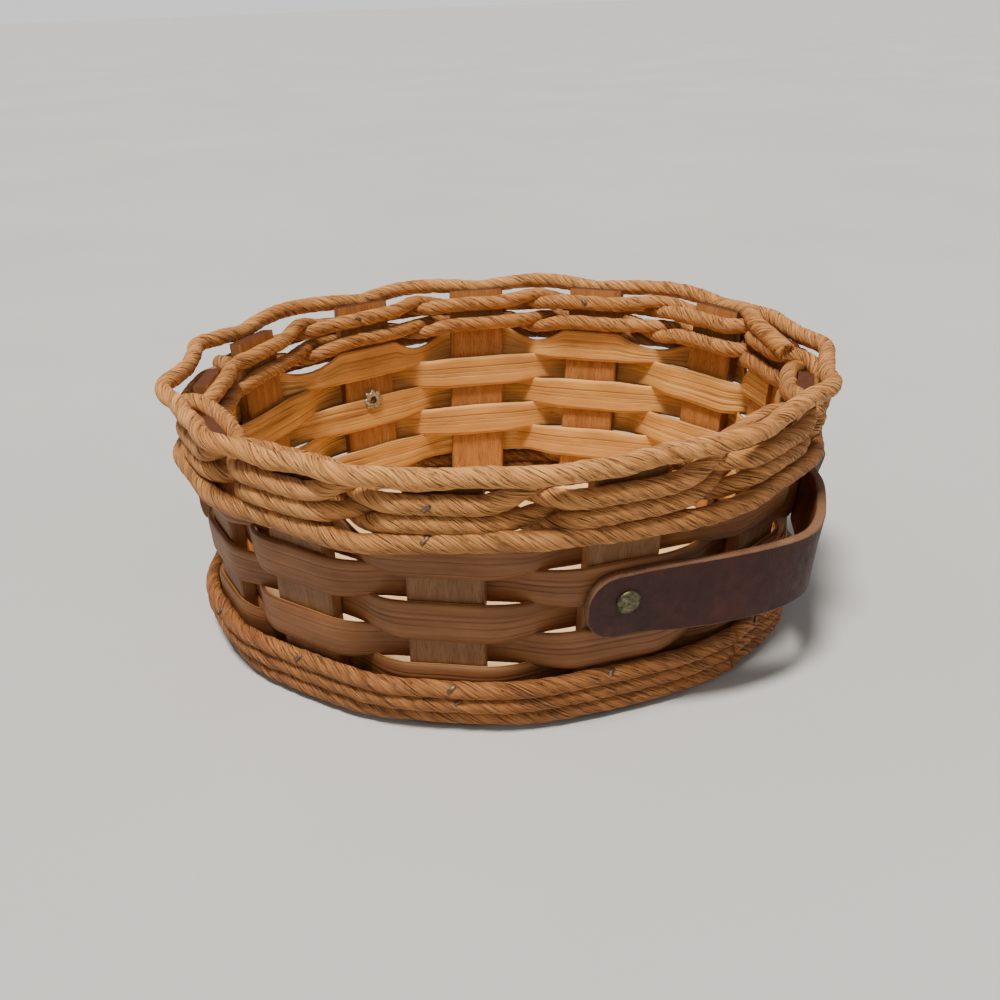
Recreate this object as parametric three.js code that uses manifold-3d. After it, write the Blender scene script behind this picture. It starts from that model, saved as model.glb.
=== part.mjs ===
// Casserole carrier basket: a round board floor, upright staves round its edge, a flat splint woven
// in one rising spiral, a rim of twined cord, cord rows round the foot and two riveted leather handles.
// Millimetres, +Z up, origin on the floor at the centre of the base, +X through the two handles.
import * as THREE from 'three';
import { mergeVertices } from 'three/addons/utils/BufferGeometryUtils.js';
import Module from 'manifold-3d';

const wasm = await Module();
wasm.setup();

// Staves
// An odd number, so that each turn of the weave passes the staves on the other side from the last
const STAVE_PAIRS = 6;
const STAVE_COUNT = 2 * STAVE_PAIRS + 1;
const STAVE_WIDTH = 24;
const STAVE_THICKNESS = 5.5;
const STAVE_TOP = 88.7;
const STAVE_EDGE_EASE = 0.7;
const FIRST_STAVE_ANGLE = -90;
// Degrees by which each hand-set stave stands off an even spacing
const STAVE_OFFSETS = [-1.1, -1.9, -0.9, 2.8, 0.6, -2.1, -7.2, -2, -0.8, -0.1, 4.6, -0.1, -0.4];

// Wall: the outer faces of the staves, which lean outwards
const FOOT_RADIUS = 104.5;
const WALL_LEAN = THREE.MathUtils.degToRad(5.7);
// The whole wall also drifts to one side as it rises, in millimetres a millimetre
const DRIFT = 0.042;
const DRIFT_ANGLE = THREE.MathUtils.degToRad(30);

// Floor board
const BOARD_THICKNESS = 5;
const BOARD_EDGE_EASE = 0.6;
const BOARD_SEGMENTS = 52;

// Flat splint, woven in one spiral that climbs clockwise; places along it are counted in staves passed
const SPLINT_THICKNESS = 1.5;
const SPLINT_WIDTH = 12.6;
const SPLINT_PINCHED_WIDTH = 10.8;
const SPLINT_PITCH = 11.3;
const SPLINT_FIRST_HEIGHT = 12.3;
const SPLINT_FIRST_STAVE = 4;
const SPLINT_JOINTS = [0, 1, 2, 3, 4].map((turn) => turn * STAVE_COUNT + (turn % 2));
SPLINT_JOINTS.push(5 * STAVE_COUNT - 1);
const SPLINT_TAIL = 0.16;
const SPLINT_GAP_STEPS = 4;
// Highest the splint's edge may reach under the rim, against a stave and half way between two
const SPLINT_TOP_AT_STAVE = 71;
const SPLINT_TOP_BETWEEN = 65.3;

// Rim: two cords nailed on outside the staves, with two rows of twined cord between them,
// all a little lower on the side where the rim dips
const RIM_DIP = 1.6;
const RIM_LOW_ANGLE = -75;
const RIM_CORD_RADIUS = 3;
const ARCH_SHARPNESS = 0.6;
const TWINE_SIDES = 6;
const TWINE_GAP_STEPS = 5;
const RING_CORD_SIDES = 6;
const RING_GAP_STEPS = 3;
const RIM_TOP = { height: 88.2, bulge: 3, arch: 3, splice: 5.5 };
const RIM_BOTTOM = { height: 68.2, bulge: 2.6, arch: -1.8, splice: 7.5 };
// Heights of a twined row against the staves, outside and inside, and how far each strand rises
// and bulges half way between two staves, where the one going in passes above the one coming out
const TWINED_ROWS = [
  { name: 'upper', outside: 80.6, inside: 84, goingIn: 5.7, comingOut: -1, bulge: 1.2 },
  { name: 'lower', outside: 74.4, inside: 75.2, goingIn: 1, comingOut: -5.5, bulge: 0 },
];

// Foot: three cords nailed on outside the staves, a little above the floor
const FOOT_LIFT = 1.4;
const FOOT_CORD_RADIUS = 2.7;
const FOOT_PITCH = 5.3;
const FOOT_BULGE = 1.4;
const FOOT_CORDS = ['lower', 'middle', 'upper'];
const FOOT_SPLICE_STAVE = 2.75;

// Leather handles
const STRAP_WIDTH = 22.4;
const STRAP_THICKNESS = 3.4;
const STRAP_TIP_RADIUS = 8;
const STRAP_STEPS = 26;
const RIVET_HEIGHTS = { near: 43.1, far: 47 };
// Shape of a handle, from the tab at its near stave (0) to the tab at its far stave (1):
// share of the way round, distance off the tabs' plane, height and outward lean in degrees
const STRAP_SHAPE = [
  { along: -0.115, off: 0.7, height: 41.4, lean: 5 },
  { along: -0.05, off: 0.13, height: 41.4, lean: 5.7 },
  { along: 0, off: 0, height: 41.4, lean: 5.7 },
  { along: 0.05, off: 0.13, height: 41.4, lean: 5.7 },
  { along: 0.16, off: 3.2, height: 41.2, lean: -3 },
  { along: 0.318, off: 8.7, height: 41, lean: -7 },
  { along: 0.459, off: 13.3, height: 40.7, lean: -2 },
  { along: 0.555, off: 14.4, height: 40.5, lean: 2 },
  { along: 0.634, off: 12.3, height: 40.7, lean: 7 },
  { along: 0.7, off: 9.6, height: 41.2, lean: 11 },
  { along: 0.859, off: 3.9, height: 43.4, lean: 14 },
  { along: 0.95, off: 0.13, height: 44.9, lean: 5.7 },
  { along: 1, off: 0, height: 44.9, lean: 5.7 },
  { along: 1.05, off: 0.13, height: 44.9, lean: 5.7 },
  { along: 1.1, off: 2.6, height: 45.2, lean: 16 },
  { along: 1.155, off: 7, height: 46, lean: 26 },
];
const HANDLES = [
  { name: 'right', near: 2, far: 4 },
  { name: 'left', near: STAVE_COUNT - 2, far: STAVE_COUNT - 4 },
];

// Tubular rivets with a domed head outside and a star clinch inside
const RIVET_SHANK_RADIUS = 1.6;
const RIVET_HOLE_CLEARANCE = 0.3;
const RIVET_HEAD_RADIUS = 4;
const RIVET_HEAD_HEIGHT = 1.5;
const STAR_RADIUS = 4.6;
const STAR_WAIST_RADIUS = 2.7;
const STAR_POINTS = 8;
const STAR_THICKNESS = 0.9;
const RIVET_SEGMENTS = 12;

// Clearances
const SEAT = 0.3;
const HUG_MARGIN = 1;
const BUTT_GAP = 0.5;

const MATERIALS = {
  stave: new THREE.MeshStandardMaterial({ color: 0x9a6f42, roughness: 0.75, metalness: 0 }),
  splint: new THREE.MeshStandardMaterial({ color: 0x8f6238, roughness: 0.65, metalness: 0 }),
  cord: new THREE.MeshStandardMaterial({ color: 0xc49a68, roughness: 0.85, metalness: 0 }),
  footCord: new THREE.MeshStandardMaterial({ color: 0x9c6b40, roughness: 0.85, metalness: 0 }),
  board: new THREE.MeshStandardMaterial({ color: 0xe6d2ae, roughness: 0.6, metalness: 0 }),
  leather: new THREE.MeshStandardMaterial({ color: 0x4a2c26, roughness: 0.55, metalness: 0 }),
  brass: new THREE.MeshStandardMaterial({ color: 0x8f8560, roughness: 0.4, metalness: 0.9 }),
};

const rad = THREE.MathUtils.degToRad;
const lerp = THREE.MathUtils.lerp;
const cosLean = Math.cos(WALL_LEAN);
const tanLean = Math.tan(WALL_LEAN);

// Angle of a stave round the basket; stave numbers run on through any number of turns
function staveAngle(k) {
  const turn = Math.floor(k / STAVE_COUNT);
  const own = k - turn * STAVE_COUNT;
  return rad(FIRST_STAVE_ANGLE + (360 * k) / STAVE_COUNT + STAVE_OFFSETS[own % STAVE_OFFSETS.length]);
}

// Angle at a fractional stave number
function angleAt(u) {
  const k = Math.floor(u);
  return lerp(staveAngle(k), staveAngle(k + 1), u - k);
}

// How far the rim stands above its own mean height at an angle round the basket
function rimRise(angle) {
  return -RIM_DIP * Math.cos(angle - rad(RIM_LOW_ANGLE));
}

function wallRadius(z) {
  return FOOT_RADIUS + z * tanLean;
}

function midWallRadius(z) {
  return wallRadius(z) - STAVE_THICKNESS / 2 / cosLean;
}

// Half the angle over which a strand lies flat against a stave
const HUG_ANGLE = Math.atan((STAVE_WIDTH / 2 + HUG_MARGIN) / FOOT_RADIUS);

// Half the gap at a butt joint, as a share of the way from stave to stave
const BUTT_SHARE = ((BUTT_GAP / 2 / FOOT_RADIUS) * STAVE_COUNT) / (2 * Math.PI);

// How far a strand has come through the gap after stave floor(u): 0 at one stave's edge, 1 at the next
function gapShare(u) {
  const k = Math.floor(u);
  const start = staveAngle(k) + HUG_ANGLE;
  const end = staveAngle(k + 1) - HUG_ANGLE;
  return THREE.MathUtils.clamp((angleAt(u) - start) / (end - start), 0, 1);
}

// Radius of a strand that lies flat against each stave, offset(k) from the stave's middle plane,
// and swings over between staves, with an outward bulge half way
function strandRadius(u, z, offset, bulge = 0) {
  const k = Math.floor(u);
  const angle = angleAt(u);
  const mid = midWallRadius(z);
  const here = mid + offset(k) / cosLean;
  const next = mid + offset(k + 1) / cosLean;
  const share = gapShare(u);
  if (share <= 0) return here / Math.cos(angle - staveAngle(k));
  if (share >= 1) return next / Math.cos(staveAngle(k + 1) - angle);
  const swing = (1 - Math.cos(Math.PI * share)) / 2;
  return lerp(here, next, swing) / Math.cos(HUG_ANGLE) + bulge * Math.sin(Math.PI * share);
}

// Stave numbers at which a strand gets a section: each stave's middle and edges, and the gaps between
function stationsAlong(from, to, gapSteps) {
  const found = [from];
  for (let k = Math.floor(from); k <= Math.ceil(to); k += 1) {
    const bay = staveAngle(k + 1) - staveAngle(k);
    const edge = HUG_ANGLE / bay;
    found.push(k, k + edge);
    for (let step = 1; step <= gapSteps; step += 1) {
      found.push(k + edge + ((1 - 2 * edge) * step) / gapSteps);
    }
  }
  const least = 0.03;
  const inside = found.filter((u) => u > from + least && u < to - least).sort((a, b) => a - b);
  const spaced = inside.filter((u, i) => i === 0 || u - inside[i - 1] > 1e-6);
  return [from, ...spaced, to];
}

function polar(angle, radius, z) {
  return new THREE.Vector3(radius * Math.cos(angle), radius * Math.sin(angle), z);
}

// Axes of a section: out of the wall and up along it, square to the path
function sectionAxes(path, u, lean) {
  const reach = 0.015;
  const along = path(u + reach).sub(path(u - reach)).normalize();
  const angle = angleAt(u);
  const up = polar(angle, Math.sin(lean), Math.cos(lean));
  const out = along.clone().cross(up).normalize();
  if (out.dot(polar(angle, 1, 0)) < 0) out.negate();
  const raised = up.addScaledVector(along, -up.dot(along)).normalize();
  return { out, up: raised };
}

// A closed solid through a row of sections, each a list of points in order round it
function loft(sections) {
  const size = sections[0].length;
  const positions = sections.flat().flatMap((p) => [p.x, p.y, p.z]);
  const index = [];
  for (let i = 0; i + 1 < sections.length; i += 1) {
    for (let j = 0; j < size; j += 1) {
      const a = i * size + j;
      const b = i * size + ((j + 1) % size);
      index.push(a, b, b + size, a, b + size, a + size);
    }
  }
  const last = (sections.length - 1) * size;
  for (let j = 1; j + 1 < size; j += 1) {
    index.push(0, j + 1, j);
    index.push(last, last + j, last + j + 1);
  }
  const geometry = new THREE.BufferGeometry();
  geometry.setAttribute('position', new THREE.Float32BufferAttribute(positions, 3));
  geometry.setIndex(signedVolume(positions, index) < 0 ? flipped(index) : index);
  return geometry;
}

function signedVolume(positions, index) {
  const corner = (i) => new THREE.Vector3().fromArray(positions, 3 * i);
  let sum = 0;
  for (let i = 0; i < index.length; i += 3) {
    sum += corner(index[i]).dot(corner(index[i + 1]).cross(corner(index[i + 2])));
  }
  return sum;
}

function flipped(index) {
  const out = [];
  for (let i = 0; i < index.length; i += 3) out.push(index[i], index[i + 2], index[i + 1]);
  return out;
}

// Booleans on closed meshes
function toSolid(geometry) {
  const bare = geometry.clone();
  bare.deleteAttribute('normal');
  bare.deleteAttribute('uv');
  const merged = mergeVertices(bare, 1e-4);
  return new wasm.Manifold(new wasm.Mesh({
    numProp: 3,
    vertProperties: new Float32Array(merged.attributes.position.array),
    triVerts: new Uint32Array(merged.index.array),
  }));
}

function toGeometry(solid) {
  const mesh = solid.getMesh();
  const geometry = new THREE.BufferGeometry();
  geometry.setAttribute('position', new THREE.Float32BufferAttribute(Array.from(mesh.vertProperties), 3));
  geometry.setIndex(Array.from(mesh.triVerts));
  return geometry;
}

function drilled(geometry, holes) {
  const cut = holes.reduce((solid, hole) => solid.subtract(toSolid(hole)), toSolid(geometry));
  return toGeometry(cut);
}

// A frame on the outer face of a stave: X out of the wall, Y round it, Z up the stave
function onStave(geometry, k, z) {
  geometry.rotateY(WALL_LEAN);
  geometry.translate(wallRadius(z), 0, z);
  geometry.rotateZ(staveAngle(k));
  return geometry;
}

// Floor board, its edge tapered to follow the leaning staves
function floorBoard() {
  const foot = FOOT_RADIUS - STAVE_THICKNESS / cosLean - SEAT;
  const top = foot + BOARD_THICKNESS * tanLean;
  const profile = [
    [0, 0],
    [foot, 0],
    [top, BOARD_THICKNESS - BOARD_EDGE_EASE],
    [top - BOARD_EDGE_EASE, BOARD_THICKNESS],
    [0, BOARD_THICKNESS],
  ].map(([r, z]) => new THREE.Vector2(r, z));
  const board = new THREE.LatheGeometry(profile, BOARD_SEGMENTS);
  board.rotateX(Math.PI / 2);
  return drilled(board, []);
}

// One stave: a slat with eased edges, drilled where a handle is riveted on
function stave(k, holes) {
  const half = STAVE_WIDTH / 2;
  const ease = STAVE_EDGE_EASE;
  const outline = new THREE.Shape();
  outline.moveTo(0, -half + ease);
  outline.lineTo(0, half - ease);
  outline.lineTo(-ease, half);
  outline.lineTo(-STAVE_THICKNESS + ease, half);
  outline.lineTo(-STAVE_THICKNESS, half - ease);
  outline.lineTo(-STAVE_THICKNESS, -half + ease);
  outline.lineTo(-STAVE_THICKNESS + ease, -half);
  outline.lineTo(-ease, -half);
  outline.closePath();
  const length = (STAVE_TOP + rimRise(staveAngle(k))) / cosLean;
  const slat = new THREE.ExtrudeGeometry(outline, { depth: length, bevelEnabled: false });
  return drilled(onStave(slat, k, 0), holes);
}

// The splint passes inside the stave where it starts, outside the next, and so on
function splintIsOutside(passed) {
  return Math.abs(passed) % 2 === 1;
}

function splintHeight(passed) {
  return SPLINT_FIRST_HEIGHT + (SPLINT_PITCH * passed) / STAVE_COUNT;
}

// Lower and upper edge of the splint: pinched where neighbouring turns cross between the staves and
// held down under the rim
function splintEdges(passed) {
  const middle = Math.sin(Math.PI * gapShare(SPLINT_FIRST_STAVE - passed));
  const half = lerp(SPLINT_WIDTH, SPLINT_PINCHED_WIDTH, middle ** 2) / 2;
  const rise = rimRise(angleAt(SPLINT_FIRST_STAVE - passed));
  const ceiling = lerp(SPLINT_TOP_AT_STAVE, SPLINT_TOP_BETWEEN, middle) + rise;
  const z = splintHeight(passed);
  return { low: z - half, high: Math.min(z + half, ceiling) };
}

function splintLength(from, to, holes) {
  const reach = STAVE_THICKNESS / 2 + SEAT + SPLINT_THICKNESS / 2;
  const offset = (k) => (splintIsOutside(SPLINT_FIRST_STAVE - k) ? reach : -reach);
  const path = (u) => {
    const z = splintHeight(SPLINT_FIRST_STAVE - u);
    return polar(angleAt(u), strandRadius(u, z, offset), z);
  };
  const half = SPLINT_THICKNESS / 2;
  const stations = stationsAlong(SPLINT_FIRST_STAVE - to, SPLINT_FIRST_STAVE - from, SPLINT_GAP_STEPS);
  const sections = stations.map((u) => {
    const { out, up } = sectionAxes(path, u, WALL_LEAN);
    const centre = path(u);
    const { low, high } = splintEdges(SPLINT_FIRST_STAVE - u);
    const corner = (a, z) =>
      centre.clone().addScaledVector(out, a).addScaledVector(up, (z - centre.z) / up.z);
    return [corner(-half, low), corner(half, low), corner(half, high), corner(-half, high)];
  });
  return drilled(loft(sections), holes);
}

// A round section with a flat at the top and the bottom
function cordSection(centre, out, up, radius, sides) {
  return Array.from({ length: sides }, (_, i) => {
    const turn = (2 * Math.PI * (i + 0.5)) / sides - Math.PI / 2;
    return centre
      .clone()
      .addScaledVector(out, radius * Math.cos(turn))
      .addScaledVector(up, radius * Math.sin(turn));
  });
}

// One strand of a twined row: inside the stave where it starts, outside the next, and so on
function twinedStrand(row, start, end) {
  const reach = STAVE_THICKNESS / 2 + SEAT + RIM_CORD_RADIUS;
  const isInside = (k) => Math.abs(k - start) % 2 === 0;
  const offset = (k) => (isInside(k) ? -reach : reach);
  const heightAt = (k) => (isInside(k) ? row.inside : row.outside);
  const path = (u) => {
    const k = Math.floor(u);
    const share = gapShare(u);
    const rise = isInside(k + 1) ? row.goingIn : row.comingOut;
    const settled = lerp(heightAt(k), heightAt(k + 1), THREE.MathUtils.smoothstep(share, 0, 1));
    const z = settled + rise * Math.sin(Math.PI * share) ** 3 + rimRise(angleAt(u));
    return polar(angleAt(u), strandRadius(u, z, offset, row.bulge), z);
  };
  return cordAlong(path, start + BUTT_SHARE, end - BUTT_SHARE, TWINE_GAP_STEPS, {
    radius: RIM_CORD_RADIUS,
    sides: TWINE_SIDES,
    lean: WALL_LEAN,
  });
}

function cordAlong(path, from, to, gapSteps, { radius, sides, lean }) {
  const sections = stationsAlong(from, to, gapSteps).map((u) => {
    const { out, up } = sectionAxes(path, u, lean);
    return cordSection(path(u), out, up, radius, sides);
  });
  return loft(sections);
}

// True where the splint passes outside stave k between two heights
function splintCovers(k, low, high) {
  for (let passed = 1; passed <= SPLINT_JOINTS.at(-1); passed += 2) {
    const sameStave = (SPLINT_FIRST_STAVE - passed - k) % STAVE_COUNT === 0;
    const edges = splintEdges(passed);
    if (sameStave && edges.low < high + SEAT && edges.high > low - SEAT) return true;
  }
  return false;
}

// A cord ring nailed on outside the staves, over the splint where that passes outside; it follows
// the rim's dip and arches from nail to nail
function ringCord(z, radius, { bulge, arch, splice, lean, level = false }) {
  const rise = (u) => (level ? 0 : rimRise(angleAt(u)));
  const covered = (k) => splintCovers(k, z + rise(k) - radius, z + rise(k) + radius);
  const cover = (k) => (covered(k) ? SPLINT_THICKNESS + SEAT : 0);
  const offset = (k) => STAVE_THICKNESS / 2 + SEAT + cover(k) + radius;
  const path = (u) => {
    const height = z + rise(u) + arch * Math.abs(Math.sin(Math.PI * u)) ** ARCH_SHARPNESS;
    return polar(angleAt(u), strandRadius(u, height, offset, bulge), height);
  };
  return cordAlong(path, splice + BUTT_SHARE, splice + STAVE_COUNT - BUTT_SHARE, RING_GAP_STEPS, {
    radius,
    sides: RING_CORD_SIDES,
    lean,
  });
}

// Plane of a handle's tab: it lies over the splint outside the stave
const TAB_OFFSET = SEAT + SPLINT_THICKNESS + SEAT + STRAP_THICKNESS / 2;

function handleStrap({ near, far }, holes) {
  const points = STRAP_SHAPE.map(({ along, off, height }) => {
    const angle = lerp(staveAngle(near), staveAngle(far), along);
    return polar(angle, wallRadius(height) + TAB_OFFSET / cosLean + off, height);
  });
  const curve = new THREE.CatmullRomCurve3(points, false, 'centripetal');
  const length = curve.getLength();
  const leanAt = (t) => {
    const place = t * (STRAP_SHAPE.length - 1);
    const i = Math.min(Math.floor(place), STRAP_SHAPE.length - 2);
    return rad(lerp(STRAP_SHAPE[i].lean, STRAP_SHAPE[i + 1].lean, place - i));
  };
  const tips = [0.3, 1.2, 3, 5.5, STRAP_TIP_RADIUS];
  const inner = Array.from({ length: STRAP_STEPS }, (_, i) => {
    return lerp(STRAP_TIP_RADIUS, length - STRAP_TIP_RADIUS, (i + 1) / (STRAP_STEPS + 1));
  });
  const distances = [0, ...tips, ...inner, ...tips.map((d) => length - d).reverse(), length];
  const sections = distances.map((distance) => {
    const share = distance / length;
    const t = curve.getUtoTmapping(share);
    const at = curve.getPoint(t);
    const along = curve.getTangent(t);
    const level = new THREE.Vector3(along.y, -along.x, 0).normalize();
    if (level.dot(at) < 0) level.negate();
    const lean = leanAt(t);
    const up = new THREE.Vector3(0, 0, Math.cos(lean)).addScaledVector(level, Math.sin(lean));
    up.addScaledVector(along, -up.dot(along)).normalize();
    const out = along.clone().cross(up).normalize();
    if (out.dot(level) < 0) out.negate();
    const end = Math.min(distance, length - distance);
    const short = Math.max(STRAP_TIP_RADIUS - end, 0);
    const half = STRAP_WIDTH / 2 - STRAP_TIP_RADIUS + Math.sqrt(STRAP_TIP_RADIUS ** 2 - short ** 2);
    const corner = (a, b) => at.clone().addScaledVector(out, a).addScaledVector(up, b);
    const edge = STRAP_THICKNESS / 2;
    return [corner(-edge, -half), corner(edge, -half), corner(edge, half), corner(-edge, half)];
  });
  return drilled(loft(sections), holes);
}

// Distances of a rivet's parts from the stave's outer face, out of the wall
const RIVET_HEAD_SEAT = TAB_OFFSET + STRAP_THICKNESS / 2 + SEAT;
const RIVET_STAR_SEAT = STAVE_THICKNESS + SEAT + SPLINT_THICKNESS + SEAT;

function rivetHole({ k, height }) {
  const length = RIVET_HEAD_SEAT + RIVET_STAR_SEAT + 2;
  const hole = new THREE.CylinderGeometry(
    RIVET_SHANK_RADIUS + RIVET_HOLE_CLEARANCE,
    RIVET_SHANK_RADIUS + RIVET_HOLE_CLEARANCE,
    length,
    RIVET_SEGMENTS,
  );
  hole.rotateZ(-Math.PI / 2);
  hole.translate((RIVET_HEAD_SEAT - RIVET_STAR_SEAT) / 2, 0, 0);
  return onStave(hole, k, height);
}

// Domed head and shank turned in one, with the split end spread into a star inside the basket
function rivet({ k, height }) {
  const dome = Array.from({ length: 5 }, (_, i) => {
    const turn = (Math.PI / 2) * (i / 4);
    const reach = RIVET_HEAD_SEAT + RIVET_HEAD_HEIGHT * Math.sin(turn);
    return new THREE.Vector2(RIVET_HEAD_RADIUS * Math.cos(turn), reach);
  });
  const starFace = RIVET_STAR_SEAT + STAR_THICKNESS;
  const profile = [
    new THREE.Vector2(0, -starFace + STAR_THICKNESS / 2),
    new THREE.Vector2(RIVET_SHANK_RADIUS, -starFace + STAR_THICKNESS / 2),
    new THREE.Vector2(RIVET_SHANK_RADIUS, RIVET_HEAD_SEAT),
    ...dome,
  ];
  profile[profile.length - 1].x = 0;
  const body = new THREE.LatheGeometry(profile, RIVET_SEGMENTS);
  body.rotateZ(-Math.PI / 2);

  const outline = new THREE.Shape();
  for (let i = 0; i < 2 * STAR_POINTS; i += 1) {
    const turn = (Math.PI * i) / STAR_POINTS;
    const reach = i % 2 === 0 ? STAR_RADIUS : STAR_WAIST_RADIUS;
    if (i === 0) outline.moveTo(reach, 0);
    else outline.lineTo(reach * Math.cos(turn), reach * Math.sin(turn));
  }
  outline.closePath();
  const star = new THREE.ExtrudeGeometry(outline, { depth: STAR_THICKNESS, bevelEnabled: false });
  star.rotateY(-Math.PI / 2);
  star.translate(-RIVET_STAR_SEAT, 0, 0);
  const joined = toGeometry(toSolid(body).add(toSolid(star)));
  return onStave(joined, k, height);
}

const basket = new THREE.Group();
const driftX = DRIFT * Math.cos(DRIFT_ANGLE);
const driftY = DRIFT * Math.sin(DRIFT_ANGLE);
const drift = new THREE.Matrix4().makeShear(0, 0, 0, 0, driftX, driftY);

function place(name, geometry, material) {
  geometry.applyMatrix4(drift);
  const mesh = new THREE.Mesh(geometry, material);
  mesh.name = name;
  basket.add(mesh);
}

const rivetsOf = ({ near, far }) => ({
  near: { k: near, height: RIVET_HEIGHTS.near },
  far: { k: far, height: RIVET_HEIGHTS.far },
});
const allRivets = HANDLES.flatMap((handle) => Object.values(rivetsOf(handle)));

place('base_board', floorBoard(), MATERIALS.board);

for (let k = 0; k < STAVE_COUNT; k += 1) {
  const holes = allRivets.filter((rivetHere) => rivetHere.k === k).map(rivetHole);
  place(`stave_${String(k + 1).padStart(2, '0')}`, stave(k, holes), MATERIALS.stave);
}

for (let i = 0; i + 1 < SPLINT_JOINTS.length; i += 1) {
  const from = SPLINT_JOINTS[i] + (i === 0 ? -SPLINT_TAIL : BUTT_SHARE);
  const to = SPLINT_JOINTS[i + 1] + (i + 2 === SPLINT_JOINTS.length ? SPLINT_TAIL : -BUTT_SHARE);
  place(`weaver_length_${i + 1}`, splintLength(from, to, allRivets.map(rivetHole)), MATERIALS.splint);
}

FOOT_CORDS.forEach((name, row) => {
  const cord = ringCord(FOOT_LIFT + FOOT_CORD_RADIUS + row * FOOT_PITCH, FOOT_CORD_RADIUS, {
    bulge: FOOT_BULGE,
    arch: 0,
    splice: FOOT_SPLICE_STAVE,
    lean: 0,
    level: true,
  });
  place(`base_cord_${name}`, cord, MATERIALS.footCord);
});

const bottomCord = ringCord(RIM_BOTTOM.height, RIM_CORD_RADIUS, { ...RIM_BOTTOM, lean: WALL_LEAN });
place('rim_cord_bottom', bottomCord, MATERIALS.cord);

for (const row of TWINED_ROWS) {
  place(`rim_twine_${row.name}_1`, twinedStrand(row, 0, STAVE_COUNT + 1), MATERIALS.cord);
  place(`rim_twine_${row.name}_2`, twinedStrand(row, 1, STAVE_COUNT), MATERIALS.cord);
}

const topCord = ringCord(RIM_TOP.height, RIM_CORD_RADIUS, { ...RIM_TOP, lean: WALL_LEAN });
place('rim_cord_top', topCord, MATERIALS.cord);

for (const handle of HANDLES) {
  const { name } = handle;
  const { near, far } = rivetsOf(handle);
  place(`${name}_handle_strap`, handleStrap(handle, [near, far].map(rivetHole)), MATERIALS.leather);
  place(`${name}_handle_rivet_near`, rivet(near), MATERIALS.brass);
  place(`${name}_handle_rivet_far`, rivet(far), MATERIALS.brass);
}

export default basket;
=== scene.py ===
# Casserole carrier basket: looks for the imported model. Lengths are in millimetres until a mesh is made.
import math

import bpy
import numpy as np
from mathutils import Matrix, Vector, noise


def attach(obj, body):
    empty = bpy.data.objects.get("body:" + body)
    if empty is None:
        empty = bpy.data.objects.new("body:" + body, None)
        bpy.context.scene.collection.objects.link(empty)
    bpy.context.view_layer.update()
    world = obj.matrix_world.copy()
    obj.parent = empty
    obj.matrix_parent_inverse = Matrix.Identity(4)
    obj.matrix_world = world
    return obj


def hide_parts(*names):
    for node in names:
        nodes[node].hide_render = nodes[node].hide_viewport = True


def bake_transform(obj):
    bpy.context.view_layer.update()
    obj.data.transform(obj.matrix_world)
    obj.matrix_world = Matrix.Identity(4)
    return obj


MM = 0.001

# Staves and wall
STAVE_COUNT = 13
STAVE_WIDTH = 24
STAVE_THICKNESS = 5.5
FIRST_STAVE_ANGLE = -90
# Degrees by which each stave is off an even spacing
STAVE_OFFSETS = [-1.1, -1.9, -0.9, 2.8, 0.6, -2.1, -7.2, -2, -0.8, -0.1, 4.6, -0.1, -0.4]
FOOT_RADIUS = 104.5
WALL_LEAN = math.radians(5.7)
DRIFT = 0.042
DRIFT_ANGLE = math.radians(30)
HUG_ANGLE = math.atan((STAVE_WIDTH / 2 + 1) / FOOT_RADIUS)
# Gap left between pieces that lie on each other, and half of the gap between two butted ends
SEAT = 0.3
BUTT = 0.25
# Staves tucked behind the top cord, counted from 0 at the front: how much lower they end
STAVE_TRIMS = {11: 3, 12: 4.6, 0: 2.8, 1: 2.2, 2: 1.6, 3: 2.2, 4: 5, 5: 2.4}
STAVE_END_DEPTH = 6
STAVE_BEVEL = 0.35
BOARD_BEVEL = 0.3

# Splint
SPLINT_THICKNESS = 1.5
SPLINT_WIDTH = 13.7
SPLINT_PINCHED_WIDTH = 12.3
SPLINT_PITCH = 11.3
SPLINT_FIRST_HEIGHT = 12.3
SPLINT_FIRST_STAVE = 4
# Staves passed from the splint's start where its lengths meet
SPLINT_JOINTS = [0, 14, 26, 40, 52, 64]
SPLINT_TAIL = 0.16
SPLINT_TOP_AT_STAVE = 71
SPLINT_TOP_BETWEEN = 65.3
SPLINT_STEP = 1.6
SPLINT_COLUMNS = 11
# Its long edges wander, its face ripples and cups, and it thins towards its edges
SPLINT_UNEVENNESS = 0.35
SPLINT_UNEVENNESS_LENGTH = 18
SPLINT_EDGE_DROP = 0.1
SPLINT_RIPPLE = 0.3
SPLINT_RIPPLE_LENGTH = 45
SPLINT_RIPPLE_DENSITY = 3.2
SPLINT_CUP = 0.25
SPLINT_CUP_SHIFT = 0.12
SPLINT_EDGE_SHARE = 0.55
SPLINT_EDGE_GROWTH = 5

# Cords
RIM_CORD_RADIUS = 3.0
RIM_DIP = 1.6
RIM_LOW_ANGLE = math.radians(-75)
FOOT_CORD_RADIUS = 2.7
FOOT_PITCH = 5.3
FOOT_BULGE = 1.4
FOOT_FIRST_HEIGHT = 4.1
FOOT_SPLICE_STAVE = 2.75
ARCH_SHARPNESS = 0.6
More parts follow.
